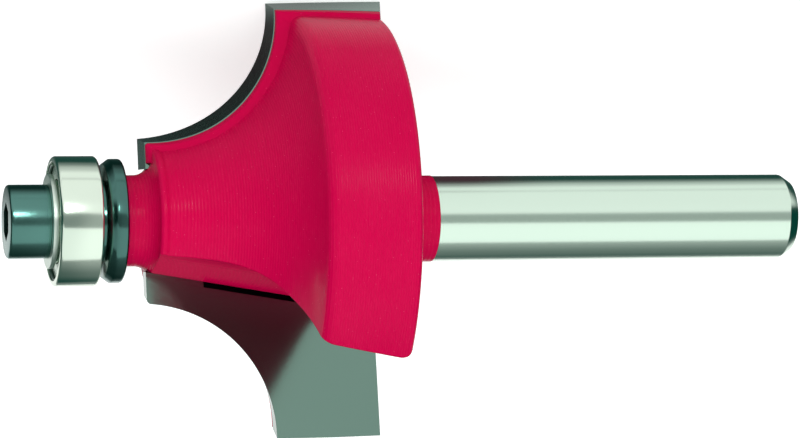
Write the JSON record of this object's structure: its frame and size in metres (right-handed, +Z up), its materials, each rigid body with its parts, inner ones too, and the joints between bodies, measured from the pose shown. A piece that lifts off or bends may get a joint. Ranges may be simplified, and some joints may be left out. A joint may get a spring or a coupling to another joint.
{
  "type": "router bit",
  "caption": "Beading router bit: sheared carbide tips on a coated steel head, with a straight shank and a ball bearing pilot held by a socket head screw.",
  "frame": {"origin": "on the surface that the bit rests on, under the middle of its box", "axes": "+Z up as the bit lies at rest, +X along the bit towards the shank's end, which hangs about 6 degrees lower than the pilot"},
  "size_m": [0.0602, 0.0302, 0.0297],
  "materials": {
    "coated_steel": "satin coating over turned steel, bare and ground on the shank",
    "carbide": "ground tungsten carbide",
    "blackened_steel": "black oxide",
    "bearing_steel": "polished",
    "pressed_steel": "bright pressed sheet",
    "spring_wire": "dark drawn wire"
  },
  "bodies": {
    "cutter": {"cutter_body": "coated_steel", "carbide_tip_1": "carbide", "carbide_tip_2": "carbide", "dust_collar": "blackened_steel", "bearing_inner_ring": "bearing_steel", "pilot_washer": "pressed_steel", "pilot_screw": "blackened_steel"},
    "pilot_rim": {"bearing_outer_ring": "bearing_steel", "bearing_shield_front": "pressed_steel", "bearing_shield_rear": "pressed_steel", "shield_snap_wire_front": "spring_wire", "shield_snap_wire_rear": "spring_wire"},
    "cage": {"bearing_cage": "pressed_steel"},
    "ball_1": {"bearing_ball_1": "bearing_steel"},
    "ball_2": {"bearing_ball_2": "bearing_steel"},
    "ball_3": {"bearing_ball_3": "bearing_steel"},
    "ball_4": {"bearing_ball_4": "bearing_steel"},
    "ball_5": {"bearing_ball_5": "bearing_steel"},
    "ball_6": {"bearing_ball_6": "bearing_steel"},
    "ball_7": {"bearing_ball_7": "bearing_steel"},
    "ball_8": {"bearing_ball_8": "bearing_steel"}
  },
  "joints": [
    {"name": "pilot_spin", "type": "hinge", "parent": "cutter", "child": "pilot_rim", "pos_m": [-0.02496, 0, 0.01643], "axis": [0.9943, 0, -0.1066], "continuous": true},
    {"name": "cage_spin", "type": "hinge", "parent": "cutter", "child": "cage", "pos_m": [-0.02496, 0, 0.01643], "axis": [0.9943, 0, -0.1066], "continuous": true},
    {"name": "ball_1_spin", "type": "hinge", "parent": "cage", "child": "ball_1", "pos_m": [-0.02529, 0.00169, 0.0133], "axis": [0.9943, 0, -0.1066], "continuous": true},
    {"name": "ball_2_spin", "type": "hinge", "parent": "cage", "child": "ball_2", "pos_m": [-0.02507, 0.00342, 0.0154], "axis": [0.9943, 0, -0.1066], "continuous": true},
    {"name": "ball_3_spin", "type": "hinge", "parent": "cage", "child": "ball_3", "pos_m": [-0.02478, 0.00315, 0.0181], "axis": [0.9943, 0, -0.1066], "continuous": true},
    {"name": "ball_4_spin", "type": "hinge", "parent": "cage", "child": "ball_4", "pos_m": [-0.02459, 0.00103, 0.01983], "axis": [0.9943, 0, -0.1066], "continuous": true},
    {"name": "ball_5_spin", "type": "hinge", "parent": "cage", "child": "ball_5", "pos_m": [-0.02462, -0.00169, 0.01956], "axis": [0.9943, 0, -0.1066], "continuous": true},
    {"name": "ball_6_spin", "type": "hinge", "parent": "cage", "child": "ball_6", "pos_m": [-0.02485, -0.00342, 0.01745], "axis": [0.9943, 0, -0.1066], "continuous": true},
    {"name": "ball_7_spin", "type": "hinge", "parent": "cage", "child": "ball_7", "pos_m": [-0.02514, -0.00315, 0.01475], "axis": [0.9943, 0, -0.1066], "continuous": true},
    {"name": "ball_8_spin", "type": "hinge", "parent": "cage", "child": "ball_8", "pos_m": [-0.02532, -0.00103, 0.01303], "axis": [0.9943, 0, -0.1066], "continuous": true}
  ],
  "couplings": [
    {"joint": "cage_spin", "follows": "pilot_spin", "ratio": 0.61111},
    {"joint": "ball_1_spin", "follows": "pilot_spin", "ratio": 2.1389},
    {"joint": "ball_2_spin", "follows": "pilot_spin", "ratio": 2.1389},
    {"joint": "ball_3_spin", "follows": "pilot_spin", "ratio": 2.1389},
    {"joint": "ball_4_spin", "follows": "pilot_spin", "ratio": 2.1389},
    {"joint": "ball_5_spin", "follows": "pilot_spin", "ratio": 2.1389},
    {"joint": "ball_6_spin", "follows": "pilot_spin", "ratio": 2.1389},
    {"joint": "ball_7_spin", "follows": "pilot_spin", "ratio": 2.1389},
    {"joint": "ball_8_spin", "follows": "pilot_spin", "ratio": 2.1389}
  ]
}
